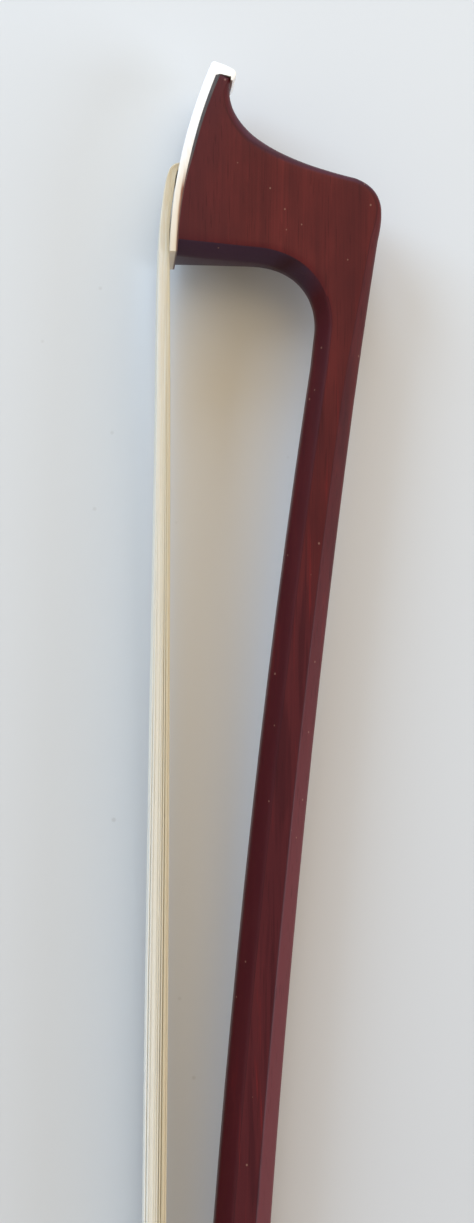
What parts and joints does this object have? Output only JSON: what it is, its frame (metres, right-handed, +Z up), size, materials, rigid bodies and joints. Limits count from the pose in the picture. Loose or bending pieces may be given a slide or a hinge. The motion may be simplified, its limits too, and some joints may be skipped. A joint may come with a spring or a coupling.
{
  "type": "violin bow",
  "caption": "Full-size violin bow lying on its side: cambered octagonal stick, hatchet head with a pale plate, slack hair, sliding frog and tightening button.",
  "frame": {"origin": "middle of the bow's bounding box, on the floor it lies on", "axes": "+X along the hair from the head to the button, +Y from the hair to the back of the stick, +Z up"},
  "size_m": [0.7444, 0.0304, 0.0134],
  "materials": {
    "red_brown_wood": "varnished, satin to gloss",
    "ebony": "polished",
    "bone": "smooth, slightly glossy",
    "horse_hair": "unbleached white hair",
    "maple": "raw, cut",
    "pearl_shell": "polished mother-of-pearl",
    "nickel_silver": "polished by hand",
    "brass": "turned",
    "steel": "turned",
    "black_leather": "fine grain, dull",
    "dark_strip": "satin",
    "light_strip": "satin"
  },
  "bodies": {
    "stick": {"stick": "red_brown_wood", "head_plate_liner": "ebony", "head_plate": "bone", "head_plug": "maple", "hair_knot_tip": "horse_hair", "hair_ribbon": "horse_hair", "winding_dark": "dark_strip", "winding_light": "light_strip", "thumb_leather": "black_leather"},
    "frog": {"frog_body": "ebony", "underslide": "nickel_silver", "eyelet": "brass", "slide_backing": "ebony", "pearl_slide": "pearl_shell", "ferrule": "nickel_silver", "spread_wedge": "maple", "frog_plug": "maple", "hair_knot_frog": "horse_hair", "heel_plate": "nickel_silver", "pearl_eye_left": "pearl_shell", "pearl_eye_right": "pearl_shell", "eye_ring_left": "nickel_silver", "eye_ring_right": "nickel_silver"},
    "button": {"screw": "steel", "button_core": "ebony", "button_collar_front": "nickel_silver", "button_collar_back": "nickel_silver", "button_eye": "pearl_shell"}
  },
  "joints": [
    {"name": "button_turn", "type": "hinge", "parent": "stick", "child": "button", "pos_m": [0.3037, 0.0069, 0.0067], "axis": [-0.9984, -0.0573, 0], "range_deg": [0, 2520]},
    {"name": "frog_slide", "type": "slide", "parent": "stick", "child": "frog", "axis": [0.9984, 0.0573, 0], "range_m": [0, 0.0049], "deforming": ["hair_ribbon"]}
  ],
  "couplings": [
    {"joint": "button_turn", "follows": "frog_slide", "rad_per_m": 8976}
  ]
}
